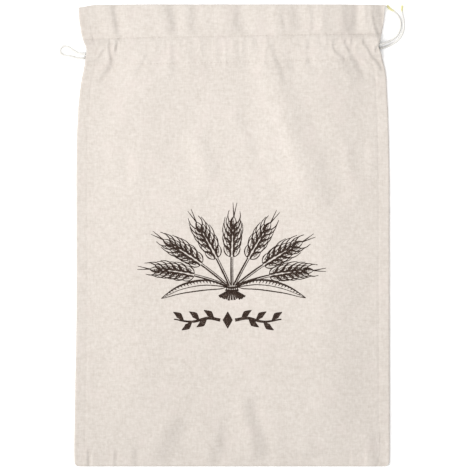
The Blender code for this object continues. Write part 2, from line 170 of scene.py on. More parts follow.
# Small creases of the outer face alone, placed one by one.
CREASE_FADE = 3
CREASES = routed(Fold, (
    # near the left end of the casing, and at the bottom's left corner
    (0.81, 1.4, (-110.6, 186.5), (-111.7, 181), (-112.1, 176.5), (-111.9, 170)),
    (-0.47, 1.8, (-135.2, -205.5), (-135, -222)),
    # across the middle of the casing
    (0.41, 1.5, (-72, 186), (-72.5, 174)),
    (-0.41, 1.6, (-47, 187), (-46, 174)),
    (0.47, 1.8, (-30, 187.5), (-29, 168)),
    (0.47, 1.8, (-15.5, 187.5), (-15, 164)),
    (0.41, 1.6, (-6.5, 187.5), (-6, 158)),
    (0.47, 1.5, (1, 188), (0.5, 172)),
    (0.47, 1.5, (9.8, 188), (9, 170)),
    (0.41, 1.6, (18.5, 188.5), (18.8, 174)),
    (-0.41, 1.6, (24, 188.5), (24.5, 176)),
    (0.61, 1.9, (32.6, 189), (31.6, 176), (29.5, 160)),
    # near the right end of the casing
    (0.41, 1.5, (55.5, 188), (55, 178)),
    (-0.61, 1.3, (64.5, 188.5), (64, 177)),
    (-0.41, 1.2, (83, 189.5), (84.5, 180)),
    (0.41, 1.3, (88.5, 190), (90, 178)),
))

# A pleat is a wall: from the left of a route that runs down to its right, the cloth steps down by twice
# the drop, and it comes back to its level at both sides. A negative drop steps up.
Pleat = namedtuple("Pleat", "drop width route")
PLEATS = routed(Pleat, (
    # the header
    (0.69, 3, (-113.6, 219), (-110.8, 202.2), (-108.6, 191), (-107.8, 183.5)),
    (0.29, 2.8, (-62.5, 219), (-57.9, 206.8), (-53.6, 195)),
    (0.25, 3, (-82.6, 214), (-73.1, 196)),
    (0.11, 2, (-38.9, 218), (-38.4, 196)),
    (0.26, 2.6, (4.4, 219), (3.6, 206), (3, 195)),
    (0.31, 2, (46.5, 210), (49.5, 194)),
    (0.45, 6, (55, 220), (57, 206), (60, 194)),
    (0.34, 2, (75.4, 217), (76, 194)),
    (-0.28, 2.4, (84.5, 217), (83.5, 194)),
    (0.18, 2.8, (117.2, 222), (116.8, 198)),
    (-0.22, 2.6, (111.6, 222), (111.2, 198)),
    (0.22, 2.2, (126.8, 221), (128, 200)),
    (1.57, 6.6, (137.6, 223), (138.6, 208), (139.4, 196), (139.5, 186)),
    (0.43, 1.4, (134, 210), (135, 201.5), (136.8, 196.5), (138.6, 191.3), (139.4, 185), (138.8, 181)),
    (0.31, 1.4, (-132.2, 191), (-132.9, 182.5)),
    # near the left end of the casing
    (0.5, 1.3, (-103.5, 189.2), (-106.8, 187.2), (-109, 184.6), (-110, 180.2), (-110.4, 174)),
    (0.66, 1.5, (-115.8, 187), (-116.8, 180.2), (-116.5, 175), (-115.2, 170), (-114.2, 165)),
    (0.74, 2.7, (-115.4, 171.5), (-114.3, 166.6), (-115.4, 161.2), (-118.7, 156.5), (-122, 153.1),
      (-127, 147.5)),
    (0.53, 1.4, (-116.5, 181.8), (-122, 176.6), (-124.4, 172.6), (-129.5, 165.8)),
    (-0.26, 1.1, (-60.8, 184), (-60.8, 171)),
    (0.24, 2, (-56.5, 185), (-56, 162)),
    (0.36, 2, (-81, 173), (-82.6, 169), (-86.4, 162.6), (-93, 153)),
    (0.24, 2, (-83.4, 172), (-76, 160.3)),
    (0.24, 1.6, (5.7, 186), (5.2, 168)),
    # near the right end of the casing
    (0.43, 2.6, (36.8, 184), (39, 173), (44.8, 158), (49.5, 146)),
    (0.41, 2.1, (72.2, 189), (71.6, 176), (71.9, 161)),
    (0.67, 1.9, (96.4, 187), (96, 178.3), (98.4, 174.3), (102.7, 170.9), (108, 168)),
    (-0.36, 3.6, (107, 171.5), (112.6, 162), (118.2, 152), (122, 145)),
    (0.55, 1.4, (107.6, 188), (106.9, 182.1), (109.8, 178), (112.2, 173)),
    (0.43, 1.3, (112.9, 189), (113.9, 180.5)),
    (-0.26, 1.2, (102.6, 189.5), (102, 181.5)),
    (-0.38, 2, (117.6, 186.5), (115.4, 178), (116.4, 170.5), (125.6, 163.3), (135, 155), (139.5, 147)),
    (0.79, 1.9, (124.4, 188.5), (125.2, 182.1), (128.8, 178.3), (130.9, 174.5), (134, 168.8),
      (139.5, 162.4), (143, 156)),
    (-0.41, 1.2, (131.8, 185.5), (132.9, 179.5), (133.6, 175.5), (135.6, 170.5)),
    (0.74, 1.2, (143.4, 187.5), (140.2, 182.6), (136.8, 178.8), (134.6, 173.5)),
    # the body
    (0.66, 18, (60, 174), (76, 134), (88, 102), (98, 66)),
    (0.8, 12, (40, 170), (54, 132), (69, 102), (84, 60), (92, 24)),
    (0.4, 5, (4, 118), (13, 98), (24, 76)),
    (0.32, 5.5, (-10, 74), (-21, 50), (-31, 28)),
    (-0.4, 6, (47, 104), (51, 84), (58, 64)),
    (-0.35, 6.5, (-37, 90), (-36, 68), (-32, 50)),
    (-0.25, 7, (-116, 84), (-116, 48)),
    (-0.3, 4.5, (-97, 78), (-96, 46)),
    (0.3, 4.5, (-84, 80), (-86, 48)),
    (-0.34, 6, (-44, 100), (-40, 64)),
    (0.34, 5.5, (-26, 96), (-20, 66)),
    (0.3, 5, (28, 62), (36, 48), (38, 34)),
    (-0.3, 5, (100, 92), (104, 60)),
    (0.3, 5, (114, 88), (117, 52)),
    (-0.26, 4, (128, 96), (130, 58)),
    # the bottom
    (0.5, 1.7, (-137.3, -202.5), (-137.1, -222)),
    (0.44, 2, (-111.3, -202.5), (-111, -222)),
    (0.46, 2.6, (-92.6, -202.5), (-92, -222)),
    (0.34, 7, (-45, -172), (-56, -190), (-63, -208), (-64.5, -223)),
    (0.32, 4.6, (-11, -182), (-11.6, -200), (-17, -212), (-22, -223)),
    (0.45, 2.6, (88, -209), (60, -205.5), (41, -199.5)),
    (-0.28, 1.7, (64.5, -204.5), (64.8, -222)),
    (-0.25, 1.7, (113, -202.5), (113.1, -222)),
    (-0.25, 1.7, (127, -202.5), (127.2, -222)),
    (1, 7, (133.5, -188), (136.5, -206), (137.5, -223)),
))

# Low ripples all over the cloth: height, wave length, direction of travel in degrees, phase in degrees.
RIPPLES = (
    (0.10, 61, 12, 40),
    (0.09, 43, -31, 205),
    (0.08, 37, 74, 110),
    (0.06, 23, 151, 300),
    (0.05, 17, 38, 15),
)

# Where the cord crosses each casing's open ends, as y at the left and at the right.
FRONT_CROSSING = (172.4, 181)
BACK_CROSSING = (169.9, 178)

# The routes of the free cord, from the casing's ends over the surface.
LOOP_ROUTE = (
    (-144.6, 172.6, 6), (-148.5, 174.6, 3.5), (-152, 177.1, 1.9), (-154.6, 178.8, 1.3),
    (-157, 179.9, 1.1), (-159.5, 180.2, 1.1), (-161.7, 179.3, 1.1), (-163.1, 177.4, 1.1),
    (-163.3, 175, 1.1), (-162.1, 172.9, 1.1), (-159.9, 171.7, 1.1), (-157, 171.3, 1.1),
    (-153.3, 170.6, 1.1), (-149.4, 169.5, 1.1), (-145.6, 168.8, 1.4), (-141.8, 168.9, 2.1),
)
TAIL_FRONT_ROUTE = (
    (143.8, 182.5, 6.4), (147.6, 184, 4), (151.8, 186.1, 2), (156, 189.4, 1.2), (158.9, 193.8, 1.1),
    (160.3, 199, 1.1), (160, 204.4, 1.1), (157.8, 209.3, 1.1), (154, 213, 1.1), (149.9, 216.1, 1.1),
    (147.6, 218.9, 1.1),
)
TAIL_BACK_ROUTE = (
    (144.6, 179, 1.7), (149.2, 180.6, 1.2), (154.4, 183.3, 1.1), (159, 187.3, 1.1), (162, 192.4, 1.1),
    (163.4, 198.2, 1.1), (163.2, 204.4, 1.1), (162, 210, 1.1), (161.4, 214.8, 1.1), (161.9, 219, 1.1),
)


def add_object(name, data):
    item = bpy.data.objects.new(name, data)
    bpy.context.scene.collection.objects.link(item)
    return item


# The camera
# The photograph is square and taken from straight above. PIXEL is one of its pixels on the bag.
PHOTO_PIXELS = 470
PIXEL = 0.950
MIDDLE_OF_VIEW = (2.90, 0.66)
VIEW_DISTANCE = 4000
VIEW_LEVEL = 5
SENSOR = 36

camera_data = bpy.data.cameras.new("camera")
camera_data.type = "PERSP"
camera_data.sensor_width = SENSOR
camera_data.lens = SENSOR * VIEW_DISTANCE / (PHOTO_PIXELS * PIXEL)
camera_data.clip_start = 0.01
camera_data.clip_end = 50
camera = add_object("camera", camera_data)
camera.location = (MIDDLE_OF_VIEW[0] * MM, MIDDLE_OF_VIEW[1] * MM, (VIEW_DISTANCE + VIEW_LEVEL) * MM)
bpy.context.scene.camera = camera


# The form of the cloth
def smooth_step(value):
    value = np.clip(value, 0, 1)
    return value * value * (3 - 2 * value)


def upper_stitch(x):
    return UPPER_STITCH_Y + UPPER_STITCH_SLANT * x


def lower_stitch(x):
    return LOWER_STITCH_Y + LOWER_STITCH_SLANT * x


def casing_swell(x, y):
    """How far the two layers of the casing stand apart, round the cord."""
    share = (y - lower_stitch(x)) / (upper_stitch(x) - lower_stitch(x))
    swell = CASING_ROOM * (1 - np.abs(2 * share - 1) ** CASING_ROUNDNESS)
    return np.where((share > 0) & (share < 1), swell, 0)


def thickness(x, y, edge):
    """The cloth's thickness without the casing's hollow: one layer, or two at a hem or a seam."""
    hem = (y - (lower_stitch(x) - HEM_BELOW_STITCH - HEM_STEP)) / HEM_STEP
    side = (SEAM_ALLOWANCE + 1) - edge
    foot = (SEAM_ALLOWANCE + 1) - (y - BOTTOM_Y)
    return CLOTH * (1 + np.clip(np.maximum(np.maximum(hem, side), foot), 0, 1))


def near_route(x, y, route, fade_length):
    """The distance from a route, how strong its form is there, and the side: 1 at the right of a route that
    runs down, seen on the page, and -1 at its left. The form fades out at both ends of the route."""
    nearest, along, side, length = np.full(x.shape, 1e9), np.zeros(x.shape), np.ones(x.shape), 0
    for (x0, y0), (x1, y1) in zip(route, route[1:]):
        run_x, run_y = x1 - x0, y1 - y0
        run = math.hypot(run_x, run_y)
        share = np.clip(((x - x0) * run_x + (y - y0) * run_y) / run**2, 0, 1)
        distance = np.hypot(x - x0 - share * run_x, y - y0 - share * run_y)
        closer = distance < nearest
        nearest = np.where(closer, distance, nearest)
        along = np.where(closer, length + share * run, along)
        side = np.where(closer, np.sign(run_x * (y - y0) - run_y * (x - x0)), side)
        length += run
    fade = smooth_step(along / fade_length) * smooth_step((length - along) / fade_length)
    return nearest, fade, side


def fold_height(x, y, folds, fade_length):
    """The sum of the folds at each point."""
    total = np.zeros(x.shape)
    for fold in folds:
        nearest, fade, _ = near_route(x, y, fold.route, fade_length)
        total += fold.height * fade * np.exp(-((nearest / fold.width) ** 2)) * (nearest < 3 * fold.width)
    return total


def pleat_height(x, y):
    """The sum of the pleats at each point."""
    total = np.zeros(x.shape)
    for pleat in PLEATS:
        nearest, fade, side = near_route(x, y, pleat.route, CREASE_FADE)
        share = np.minimum(nearest / pleat.width, 4)
        total -= pleat.drop * fade * side * share * np.exp(0.5 - 0.5 * share**2)
    return total


def front_top(x, y, edge):
    """The height of the upper panel's top face, as in the solids."""
    swell = casing_swell(x, y)
    side = 4 * CLOTH + SEAM_GAP + 2 * swell
    side = side + LOOSE_HEADER_LIFT * smooth_step((y - UPPER_STITCH_Y) / (TOP_Y - UPPER_STITCH_Y))
    middle = np.interp(y, MIDDLE_LEVELS[:, 0], MIDDLE_LEVELS[:, 1]) + CREST_SHARE * swell
    level = side + (middle - side) * np.sin(0.5 * math.pi * np.minimum(1, edge / RISE_LENGTH)) ** 2
    held = 1 - (1 - FOLD_SHARE_OVER_CORD) * swell / CASING_ROOM
    return level + fold_height(x, y, FOLDS, FOLD_FADE) * held * smooth_step((level - side) / FOLD_ROOM)


def back_bottom(x, y, edge):
    """The height of the lower panel's bottom face: on the surface, but for the header's low waves."""
    return fold_height(x, y, BACK_FOLDS, FOLD_FADE) * smooth_step(edge / RISE_LENGTH)


# The upper stitches pull the cloth in along their line, and harder in places: from x, to x, depth.
UPPER_TROUGH_DEPTH = 0.07
TROUGH_WIDTH = 0.95
PULLS = (
    (-113.4, -105.9, 0.24), (-87.8, -80.2, 0.32), (-75.5, -71.7, 0.40), (-68.8, -66.9, 0.26),
    (-51.7, -49.8, 0.20), (-33.7, -27, 0.20), (-8, -5.2, 0.22), (6.2, 8.1, 0.22),
    (14.8, 25.2, 0.22), (32.8, 38.5, 0.28), (47.1, 59.4, 0.26), (62.3, 71.8, 0.28), (74.6, 76.5, 0.24),
    (80.3, 84.1, 0.36), (89.8, 94.6, 0.38), (96.5, 101.2, 0.30), (104.1, 107.9, 0.34),
    (112.6, 118.3, 0.26), (119.3, 124, 0.36), (126.9, 134.5, 0.34),
)
PULL_FADE = 0.8
# How the casing's swell eases into the cloth around it.
SOFT_REACH = 17
SOFT_SAMPLES = 11
SOFT_DEPTH = 0.15
SOFT_END_SHARE = 0.5
SOFT_ABOVE = 1
SOFT_FADE = 6
# The seams show as a shallow line, weaker along the bottom.
SEAM_LINE_DEPTH = 0.24
SEAM_LINE_WIDTH = 1.1
SEAM_LINE_INSET = SEAM_ALLOWANCE + 1.3
FOOT_LINE_SHARE = 0.3
# The deepest hollow of the outer face, as a share of the cloth under it.
DEEPEST = 0.68
# How far past its stitches the casing counts.
STITCH_MARGIN = 1


def stitch_trough(x, y):
    """How deep the upper stitches pull the cloth in. The lower ones leave it as it is."""
    depth = np.full(x.shape, UPPER_TROUGH_DEPTH)
    for start, end, pull in PULLS:
        fade = smooth_step(x - start + PULL_FADE) * smooth_step(end - x + PULL_FADE)
        depth = depth + pull * fade
    return depth * np.exp(-(((y - upper_stitch(x)) / TROUGH_WIDTH) ** 2))


def softened(x, y, edge):
    """What it takes to ease the casing's swell in and out, on the outer face alone."""
    offsets = np.linspace(-SOFT_REACH, SOFT_REACH, SOFT_SAMPLES)
    weights = np.cos(0.5 * math.pi * offsets / (SOFT_REACH * 1.1)) ** 2
    swells = [casing_swell(x, y + offset) for offset in offsets]
    mean = sum(weight * swell for weight, swell in zip(weights, swells)) / weights.sum()
    rise = np.sin(0.5 * math.pi * np.minimum(1, edge / RISE_LENGTH)) ** 2
    over = SOFT_END_SHARE * (1 - rise)
    upper = over + (1 - over) * smooth_step((upper_stitch(x) + SOFT_ABOVE - y) / SOFT_FADE)
    change = (2 + (CREST_SHARE - 2) * rise) * (mean - casing_swell(x, y)) * upper
    return np.maximum(change, -SOFT_DEPTH)


def in_casing(x, y):
    return (y > lower_stitch(x) - STITCH_MARGIN) & (y < upper_stitch(x) + STITCH_MARGIN)


def relief(x, y, edge):
    """The small forms of the upper panel's outer face, over the solid's own."""
    height = fold_height(x, y, CREASES, CREASE_FADE) + pleat_height(x, y) + softened(x, y, edge)
    for ripple, length, direction, phase in RIPPLES:
        turn = math.radians(direction)
        way = 2 * math.pi * (x * math.cos(turn) + y * math.sin(turn)) / length
        height = height + ripple * np.sin(way + math.radians(phase))
    side_line = np.exp(-(((edge - SEAM_LINE_INSET) / SEAM_LINE_WIDTH) ** 2))
    foot_line = np.exp(-(((y - BOTTOM_Y - SEAM_LINE_INSET) / SEAM_LINE_WIDTH) ** 2))
    height = height - SEAM_LINE_DEPTH * (side_line + FOOT_LINE_SHARE * foot_line) - stitch_trough(x, y)
    layer = np.where(in_casing(x, y), CLOTH, thickness(x, y, edge))
    return np.maximum(height, -DEEPEST * layer)


def side_x(y, column):
    """The side edge at y, drawn in at the bottom corner. column is 1 for the left and 2 for the right."""
    y = np.asarray(y, dtype=float)
    x = np.interp(y, OUTLINE[:, 0], OUTLINE[:, column])
    above = np.clip(y - BOTTOM_Y, 0, CORNER_RADIUS)
    inset = CORNER_RADIUS - np.sqrt(CORNER_RADIUS**2 - (CORNER_RADIUS - above) ** 2)
    return x - np.sign(x) * inset


def edge_distance(x, y):
    return np.maximum(0, np.minimum(x - side_x(y, 1), side_x(y, 2) - x))


def cloth_top(x, y):
    """The height of the bag's upper face."""
    x, y = np.asarray(x, dtype=float), np.asarray(y, dtype=float)
    edge = edge_distance(x, y)
    return front_top(x, y, edge) + relief(x, y, edge)


# The cords
STRANDS = 3
STRAND_DEPTH = 0.24
TWIST_LENGTH = 7
AROUND = 24
RING_STEP = 0.3
# A bare end flares over a short length, and its rim is drawn in.
FLARE = 0.10
FLARE_LENGTH = 1.2
RIM_DRAW = 0.28
RIM_LENGTH = 0.25
END_BULGE = 0.25
START_BULGE = -0.05
CLOSED_END_SHARE = 0.9
LOBE_POWER = 0.7


def curve_through(route, step):
    """Points at even steps along a smooth curve through the route's own points."""
    points = np.array(route, dtype=float)
    padded = np.vstack((2 * points[0] - points[1], points, 2 * points[-1] - points[-2]))
    fine = []
    for a, b, c, d in zip(padded, padded[1:], padded[2:], padded[3:]):
        for t in np.arange(0, 1, 1 / 24):
            bend = (2 * a - 5 * b + 4 * c - d) * t**2 + (3 * b - a - 3 * c + d) * t**3
            fine.append(0.5 * (2 * b + (c - a) * t + bend))
    fine = np.array(fine + [points[-1]])
    lengths = np.concatenate(([0], np.cumsum(np.linalg.norm(np.diff(fine, axis=0), axis=1))))
    count = max(2, int(round(lengths[-1] / step)) + 1)
    places = np.linspace(0, lengths[-1], count)
    return np.stack([np.interp(places, lengths, fine[:, axis]) for axis in range(3)], axis=1), lengths[-1]


def casing_end(crossing, column, is_front):
    """Where the cord comes out of a casing."""
    y = crossing[column - 1]
    x = side_x(y, column)
    swell = casing_swell(x, np.asarray(y))
    if is_front:
        z = front_top(x, np.asarray(y), np.zeros(())) - CLOTH - 0.5 * swell
    else:
        z = CLOTH + 0.5 * swell
    return np.array((float(x), y, float(z)))


def add_mesh(name, vertices, faces, sharp_angle=50):
    """A mesh object from points in millimetres."""
    data = bpy.data.meshes.new(name)
    data.from_pydata((np.asarray(vertices) * MM).tolist(), [], [list(map(int, face)) for face in faces])
    mesh = bmesh.new()
    mesh.from_mesh(data)
    bmesh.ops.recalc_face_normals(mesh, faces=mesh.faces)
    if mesh.calc_volume(signed=True) < 0:
        bmesh.ops.reverse_faces(mesh, faces=mesh.faces)
    mesh.to_mesh(data)
    mesh.free()
    data.shade_smooth()
    data.set_sharp_from_angle(angle=math.radians(sharp_angle))
    return add_object(name, data)


def tube_faces(first, rings, sides):
    """The quads round a tube, whose rings of vertices follow each other from the first one."""
    faces = []
    for low in range(first, first + (rings - 1) * sides, sides):
        for side in range(sides):
            following = (side + 1) % sides
            faces.append((low + side, low + following, low + sides + following, low + sides + side))
    return faces


def twisted_cord(name, path, bare_end):
    """A round cord of three twisted strands along a path, with closed ends."""
    count = len(path)
    tangent = np.gradient(path, axis=0)
    tangent /= np.linalg.norm(tangent, axis=1)[:, None]
    side = np.cross(tangent, (0, 0, 1))
    side /= np.linalg.norm(side, axis=1)[:, None]
    up = np.cross(side, tangent)
    vertices = []
    for ring in range(count):
        turn = 2 * math.pi * (ring * RING_STEP) / TWIST_LENGTH
        left = (count - 1 - ring) * RING_STEP
        size = 0.5 * CORD_DIAMETER
        if bare_end:
            size *= 1 + FLARE * math.exp(-left / FLARE_LENGTH) - RIM_DRAW * math.exp(-left / RIM_LENGTH)
        elif ring in (0, count - 1):
            size *= CLOSED_END_SHARE
        for corner in range(AROUND):
            angle = 2 * math.pi * corner / AROUND
            lobe = abs(math.sin(0.5 * STRANDS * (angle - turn)))
            radius = size * (1 - STRAND_DEPTH + STRAND_DEPTH * lobe**LOBE_POWER)
            outwards = math.cos(angle) * side[ring] + math.sin(angle) * up[ring]
            vertices.append(path[ring] + radius * outwards)
    faces = tube_faces(0, count, AROUND)
    for ring, bulge in ((0, START_BULGE), (count - 1, END_BULGE)):
        centre = len(vertices)
        vertices.append(path[ring] + tangent[ring] * bulge)
        for corner in range(AROUND):
            faces.append((ring * AROUND + corner, ring * AROUND + (corner + 1) % AROUND, centre))
    return add_mesh(name, vertices, faces, 75)


def free_cord(name, route, after, before=None):
    """A free stretch of cord from a casing's end, to another one or to its own bare end."""
    places = [np.array(place) for place in route]
    direction = places[0] - after
    places.insert(0, after + direction / np.linalg.norm(direction) * CORD_GAP)
    if before is not None:
        direction = places[-1] - before
        places.append(before + direction / np.linalg.norm(direction) * CORD_GAP)
    path, length = curve_through(places, RING_STEP)
    item = twisted_cord(name, path, before is None)
    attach(item, "root")
    return item


loop = free_cord(
    "loop_cord",
    LOOP_ROUTE,
    casing_end(FRONT_CROSSING, 1, True),
    casing_end(BACK_CROSSING, 1, False),
)
tail_front = free_cord("front_tail_cord", TAIL_FRONT_ROUTE, casing_end(FRONT_CROSSING, 2, True))
tail_back = free_cord("back_tail_cord", TAIL_BACK_ROUTE, casing_end(BACK_CROSSING, 2, False))
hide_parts("cord_loop")
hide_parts("cord_tail_front")
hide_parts("cord_tail_back")

# The two panels
Row = namedtuple("Row", "y slant drop", defaults=(0,))
EDGE_INSETS = np.array((0, 0.3, 0.8, *np.arange(1.5, 12.1, 0.7), 12.8, 13.6, 14.3, 15))
# How far apart the columns are, as x and spacing: close where the cord's pull creases the cloth.
COLUMN_SPACING = ((-135, 0.8), (-103, 0.8), (-100, 1.35), (86, 1.35), (89, 0.8), (135, 0.8))
FOOT_FOLDS_BELOW_Y = -194
FOOT_INSETS = (0, 0.3, 0.8, 1.6, 2.8, 4.4, 6.4, 8.2, 9.2, 10.2, 11.3, 13)
STITCH_OFFSETS = (-1.3, -0.8, -0.4, 0, 0.4, 0.8, 1.3)
NOSE_ANGLES = (30, 60, 90, 120, 150)
EDGE_RADIUS = 1.3
INNER_ROUND_SHARE = 0.3
BACK_ROUND_SHARE = 0.8
EDGE_FADE = 1.5
EDGE_HOLLOW = 0.45
INNER_HOLLOW = 0.85
HEM_MARGIN = 0.7


def row_y(row, x):
    corner = smooth_step((CORNER_DROP_FROM_X - x) / CORNER_DROP_LENGTH)
    return row.y + row.slant * x - row.drop * corner


def panel_rows(body_step, top_step):
    """The rows from the bottom edge to the hem, then those of the casing and the header."""
    body = [Row(BOTTOM_Y + inset, 0) for inset in FOOT_INSETS]
    y = body[-1].y + body_step
    last = LOWER_STITCH_Y - HEM_BELOW_STITCH - HEM_STEP - HEM_MARGIN
    while y < last:
        share = float(smooth_step((y - STRAIGHT_BELOW_Y) / (LOWER_STITCH_Y - STRAIGHT_BELOW_Y)))
        body.append(Row(y, LOWER_STITCH_SLANT * share))
        y += body_step if FOOT_FOLDS_BELOW_Y < y < STRAIGHT_BELOW_Y else min(body_step, 1.3 * top_step)
    hem = (-HEM_BELOW_STITCH - HEM_STEP, -HEM_BELOW_STITCH)
    for offset in hem + tuple(offset for offset in STITCH_OFFSETS if offset < 0):
        body.append(Row(LOWER_STITCH_Y + offset, LOWER_STITCH_SLANT))
    casing = []
    span = UPPER_STITCH_Y - LOWER_STITCH_Y
    margin = STITCH_OFFSETS[-1]
    inner = np.arange(margin + top_step, span - margin - 0.5 * top_step, top_step)
    offsets = [offset for offset in STITCH_OFFSETS if offset >= 0] + list(inner)
    offsets += [span + offset for offset in STITCH_OFFSETS if offset <= 0]
    for offset in offsets:
        share = offset / span
        slant = LOWER_STITCH_SLANT + share * (UPPER_STITCH_SLANT - LOWER_STITCH_SLANT)
        casing.append(Row(LOWER_STITCH_Y + offset, slant))
    header = []
    places = [UPPER_STITCH_Y + offset for offset in STITCH_OFFSETS if offset > 0]
    places += list(np.arange(places[-1] + top_step, TOP_Y - NOSE - 0.5 * top_step, top_step))
    places.append(TOP_Y - NOSE)
    for y in places:
        share = (y - UPPER_STITCH_Y) / (TOP_Y - UPPER_STITCH_Y)
        header.append(Row(y, UPPER_STITCH_SLANT * (1 - share), CORNER_DROP * float(smooth_step(share))))
    return body, casing, header


def column_shares(coarseness):
    """Where the columns stand, from 0 at the left inset to 1 at the right one."""
    low, high = COLUMN_SPACING[0][0], COLUMN_SPACING[-1][0]
    places = [low]
    while places[-1] < high:
        places.append(places[-1] + coarseness * float(np.interp(places[-1], *zip(*COLUMN_SPACING))))
    return (np.array(places) - low) / (places[-1] - low)


def grid_places(rows, coarseness):
    """x, y and the distance from the nearer side edge, for all rows and columns."""
    shares = column_shares(coarseness)[1:-1]
    xs, ys, edges = [], [], []
    for row in rows:
        left = float(side_x(row_y(row, -HALF_WIDTH), 1))
        right = float(side_x(row_y(row, HALF_WIDTH), 2))
        middle = left + EDGE_INSETS[-1] + (right - left - 2 * EDGE_INSETS[-1]) * shares
        x = np.concatenate((left + EDGE_INSETS, middle, right - EDGE_INSETS[::-1]))
        xs.append(x)
        ys.append(row_y(row, x))
        edges.append(np.minimum(x - left, right - x))
    return np.array(xs), np.array(ys), np.array(edges)


def corner_round(distance):
    """How far a face falls away within the rounding's radius of its edge."""
    inside = np.clip(1 - distance / EDGE_RADIUS, 0, 1)
    return EDGE_RADIUS * (1 - np.sqrt(1 - inside**2))


def to_the_edge(height, x, y, edge):
    """The relief near a side edge: ridges and the casing's ends fade out there, hollows run on over it."""
    fade = smooth_step(edge / EDGE_FADE)
    hollow = np.maximum(height, -EDGE_HOLLOW - INNER_HOLLOW * fade)
    return np.where(in_casing(x, y) | (height > 0), height * fade, hollow)


def quads(first, second):
    """The quads between two lines of vertex numbers."""
    return list(zip(first[:-1], first[1:], second[1:], second[:-1]))


def strips(lines, flipped=False):
    """The quads between each of several lines of vertex numbers and the next one."""
    faces = []
    for low, high in zip(lines, lines[1:]):
        faces += quads(high, low) if flipped else quads(low, high)
    return faces


def panel(name, body_step, top_step, coarseness, is_front):
    """One cut panel with its hem: two faces, the rolled top edge, and the casing's through hollow."""
    body, casing, header = panel_rows(body_step, top_step)
    rows = body + casing + header
    x, y, edge = grid_places(rows, coarseness)
    first, last = len(body), len(body) + len(casing) - 1
    inside = np.zeros((len(rows), 1))
    inside[first + 1:last] = 1
    swell = casing_swell(x, y) * inside
    layers = thickness(x, y, edge)
    outer_round = np.minimum(1, np.maximum(corner_round(edge), corner_round(y - BOTTOM_Y)))
    inner_round = INNER_ROUND_SHARE * outer_round
    if is_front:
        base = front_top(x, y, edge)
        heights = (
            base + to_the_edge(relief(x, y, edge), x, y, edge) - outer_round,
            base - layers - swell + inner_round,
            base - CLOTH,
            base - CLOTH - swell,
        )
    else:
        base = back_bottom(x, y, edge)
        heights = (
            base + stitch_trough(x, y) + BACK_ROUND_SHARE * outer_round,
            base + layers + swell - inner_round,
            base + CLOTH,
            base + CLOTH + swell,
        )
    vertices = [np.stack((x, y, height), axis=2).reshape(-1, 3) for height in heights[:2]]
    outer = np.arange(x.size).reshape(x.shape)
    inner = outer + x.size

    def add_line(*places):
        """Adds a line of vertices across the panel, and gives their numbers."""
        start = sum(map(len, vertices))
        vertices.append(np.stack(places, axis=1))
        return np.arange(start, start + len(places[0]))

    near, far = [], []
    for index in range(first, last + 1):
        near.append(add_line(x[index], y[index], heights[2][index]))
        is_open = first < index < last
        far.append(add_line(x[index], y[index], heights[3][index]) if is_open else near[-1])
    # The cloth turns over at the top edge.
    middle = 0.5 * (heights[0][-1] + heights[1][-1])
    half = 0.5 * (heights[0][-1] - heights[1][-1])
    nose = [
        add_line(x[-1], y[-1] + NOSE * math.sin(turn), middle + half * math.cos(turn))
        for turn in map(math.radians, NOSE_ANGLES)
    ]
    turned = [outer[-1], *nose, inner[-1]]
    faces = strips(outer) + strips(inner, True) + strips(turned) + quads(inner[0], outer[0])
    faces += strips(near, True) + strips(far)
    for column in (0, -1):
        for index in range(len(rows) - 1):
            place = index - first
            lines = (outer[index], outer[index + 1], inner[index + 1], inner[index])
            corners = [line[column] for line in lines]
            if 0 <= place < len(near) - 1:
                faces.append(corners[:2] + [near[place + 1][column], near[place][column]])
                faces.append([far[place][column], far[place + 1][column]] + corners[2:])
            elif place == -1:
                faces.append(corners[:2] + [near[0][column]] + corners[2:])
            elif place == len(near) - 1:
                faces.append(corners + [near[-1][column]])
            else:
                faces.append(corners)
        faces.append([line[column] for line in turned])
    # A hollow that closes to one line leaves faces with a repeated corner.
    clean = []
    for face in faces:
        kept = [corner for place, corner in enumerate(face) if corner != face[place - 1]]
        if len(kept) > 2:
            clean.append(kept)
    return add_mesh(name, np.vstack(vertices), clean)


front_cloth = panel("front_cloth", body_step=3.3, top_step=1.45, coarseness=1, is_front=True)
back_cloth = panel("back_cloth", body_step=6, top_step=3, coarseness=3, is_front=False)
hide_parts("front_panel")
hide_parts("back_panel")

# The stitches
STITCH_PITCH = 3
STITCH_LENGTH = 2.4
STITCH_RADIUS = 0.24
STITCH_RINGS = 6
STITCH_SIDES = 8
STITCH_INSET = 2
STITCH_SKEW = 0.09
# How high the middle of a stitch lies over the front, or under the back, and how far its ends go in.
FRONT_STITCH = (0.12, 0.42)
BACK_STITCH = (0.26, 0.4)


